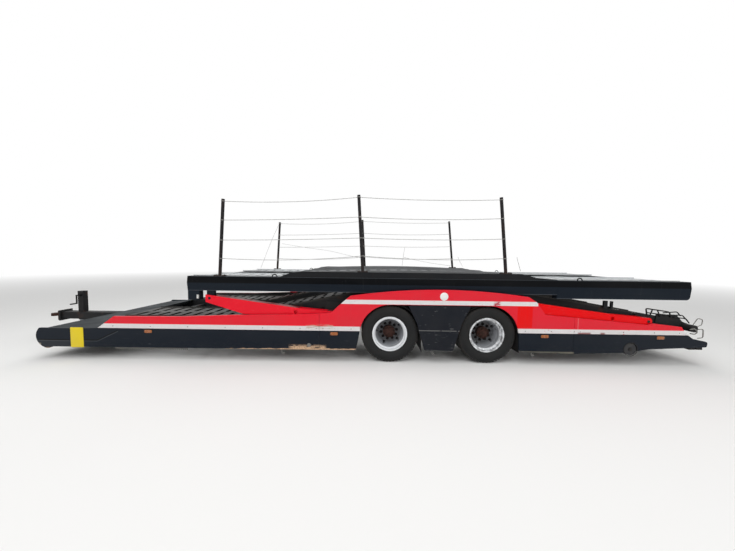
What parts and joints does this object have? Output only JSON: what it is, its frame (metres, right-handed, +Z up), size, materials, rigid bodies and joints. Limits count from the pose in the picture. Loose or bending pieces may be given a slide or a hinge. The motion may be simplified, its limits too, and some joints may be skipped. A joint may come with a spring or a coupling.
{
  "type": "two-axle car transporter trailer with lifting upper deck",
  "caption": "Centre-axle car transporter trailer with twin wheels, low side panels, perforated tracks and an upper deck that lifts on four arms.",
  "frame": {"origin": "on the floor under the middle of the length, width centred", "axes": "+X towards the tail, +Y to the trailer's right side, +Z up"},
  "size_m": [10.191, 2.55, 2.2373],
  "materials": {
    "red_paint": "gloss",
    "dark_paint": "satin",
    "chassis_steel": "satin",
    "galvanised": "matte",
    "rusty_steel": "matte",
    "tyre_rubber": "matte",
    "wheel_paint": "satin",
    "cylinder_steel": "gloss",
    "black_plastic": "matte",
    "amber_lens": "gloss",
    "red_lens": "gloss",
    "clear_lens": "gloss",
    "plate_blank": "satin"
  },
  "bodies": {
    "chassis": {"air_springs": "tyre_rubber", "air_tanks": "chassis_steel", "arm_bearings": "chassis_steel", "axles": "chassis_steel", "chassis_beams": "chassis_steel", "coupling_eye": "rusty_steel", "cross_members": "chassis_steel", "drawbar": "chassis_steel", "end_beams": "dark_paint", "frame_brackets": "chassis_steel", "front_skirts": "dark_paint", "hydraulic_unit": "chassis_steel", "jack_housing": "chassis_steel", "loading_ramps": "galvanised", "lower_tracks": "galvanised", "mudguards": "black_plastic", "nose_plate": "dark_paint", "number_plate": "plate_blank", "rear_skirts": "dark_paint", "roller_brackets": "chassis_steel", "side_markers": "amber_lens", "side_panels": "red_paint", "tail_brackets": "chassis_steel", "tail_lamps": "red_lens", "tail_plate": "galvanised", "trailing_arms": "chassis_steel", "wheel_arch_panels": "red_paint", "wheel_spats": "dark_paint"},
    "front_lifting_arms": {"front_arms": "red_paint"},
    "rear_lifting_arms": {"rear_arms": "red_paint"},
    "front_barrels": {"front_lift_barrels": "cylinder_steel"},
    "front_rods": {"front_lift_rods": "cylinder_steel"},
    "rear_barrels": {"rear_lift_barrels": "cylinder_steel"},
    "rear_rods": {"rear_lift_rods": "cylinder_steel"},
    "upper_deck": {"deck_cross_members": "chassis_steel", "deck_flat_tracks": "galvanised", "deck_hump_tracks": "galvanised", "deck_side_beams": "dark_paint", "deck_step_boards": "dark_paint", "front_marker_lamps": "clear_lens", "rail_posts": "rusty_steel"},
    "jack": {"jack_leg": "galvanised"},
    "left_roller": {"left_skid_roller": "tyre_rubber"},
    "right_roller": {"right_skid_roller": "tyre_rubber"},
    "front_left_twins": {"front_left_tyres": "tyre_rubber", "front_left_wheel": "wheel_paint"},
    "front_right_twins": {"front_right_tyres": "tyre_rubber", "front_right_wheel": "wheel_paint"},
    "rear_left_twins": {"rear_left_tyres": "tyre_rubber", "rear_left_wheel": "wheel_paint"},
    "rear_right_twins": {"rear_right_tyres": "tyre_rubber", "rear_right_wheel": "wheel_paint"}
  },
  "joints": [
    {"name": "front_arm_lift", "type": "hinge", "parent": "chassis", "child": "front_lifting_arms", "pos_m": [0.0795, 0, 0.638], "axis": [0, 1, 0], "range_deg": [0, 60]},
    {"name": "rear_arm_lift", "type": "hinge", "parent": "chassis", "child": "rear_lifting_arms", "pos_m": [4.3235, 0, 0.602], "axis": [0, 1, 0], "range_deg": [0, 60]},
    {"name": "deck_level", "type": "hinge", "parent": "front_lifting_arms", "child": "upper_deck", "pos_m": [-1.5555, 0, 0.842], "axis": [0, 1, 0], "range_deg": [-60, 0]},
    {"name": "front_barrel_swing", "type": "hinge", "parent": "chassis", "child": "front_barrels", "pos_m": [0.01699, 0, 0.28347], "axis": [0, 1, 0], "range_deg": [0, 30]},
    {"name": "front_rod_slide", "type": "slide", "parent": "front_barrels", "child": "front_rods", "axis": [-0.6225, 0, 0.7826], "range_m": [0, 0.21961]},
    {"name": "rear_barrel_swing", "type": "hinge", "parent": "chassis", "child": "rear_barrels", "pos_m": [4.26099, 0, 0.24747], "axis": [0, 1, 0], "range_deg": [0, 30]},
    {"name": "rear_rod_slide", "type": "slide", "parent": "rear_barrels", "child": "rear_rods", "axis": [-0.6225, 0, 0.7826], "range_m": [0, 0.21961]},
    {"name": "jack_slide", "type": "slide", "parent": "chassis", "child": "jack", "axis": [0, 0, 1], "range_m": [0, 0.22]},
    {"name": "left_roller_spin", "type": "hinge", "parent": "chassis", "child": "left_roller", "pos_m": [4.0785, -1.227, 0.23], "axis": [0, 1, 0], "continuous": true},
    {"name": "right_roller_spin", "type": "hinge", "parent": "chassis", "child": "right_roller", "pos_m": [4.0785, 1.227, 0.23], "axis": [0, 1, 0], "continuous": true},
    {"name": "front_left_wheel_spin", "type": "hinge", "parent": "chassis", "child": "front_left_twins", "pos_m": [0.8645, -1.0165, 0.3835], "axis": [0, 1, 0], "continuous": true},
    {"name": "front_right_wheel_spin", "type": "hinge", "parent": "chassis", "child": "front_right_twins", "pos_m": [0.8645, 1.0165, 0.3835], "axis": [0, 1, 0], "continuous": true},
    {"name": "rear_left_wheel_spin", "type": "hinge", "parent": "chassis", "child": "rear_left_twins", "pos_m": [2.1745, -1.0165, 0.3835], "axis": [0, 1, 0], "continuous": true},
    {"name": "rear_right_wheel_spin", "type": "hinge", "parent": "chassis", "child": "rear_right_twins", "pos_m": [2.1745, 1.0165, 0.3835], "axis": [0, 1, 0], "continuous": true}
  ],
  "couplings": [
    {"joint": "rear_arm_lift", "follows": "front_arm_lift", "ratio": 1},
    {"joint": "deck_level", "follows": "front_arm_lift", "ratio": -1},
    {"joint": "front_barrel_swing", "follows": "front_arm_lift", "ratio": 0.5},
    {"joint": "rear_barrel_swing", "follows": "front_arm_lift", "ratio": 0.5},
    {"joint": "front_rod_slide", "follows": "front_arm_lift", "m_per_rad": 0.20971},
    {"joint": "rear_rod_slide", "follows": "front_arm_lift", "m_per_rad": 0.20971}
  ]
}
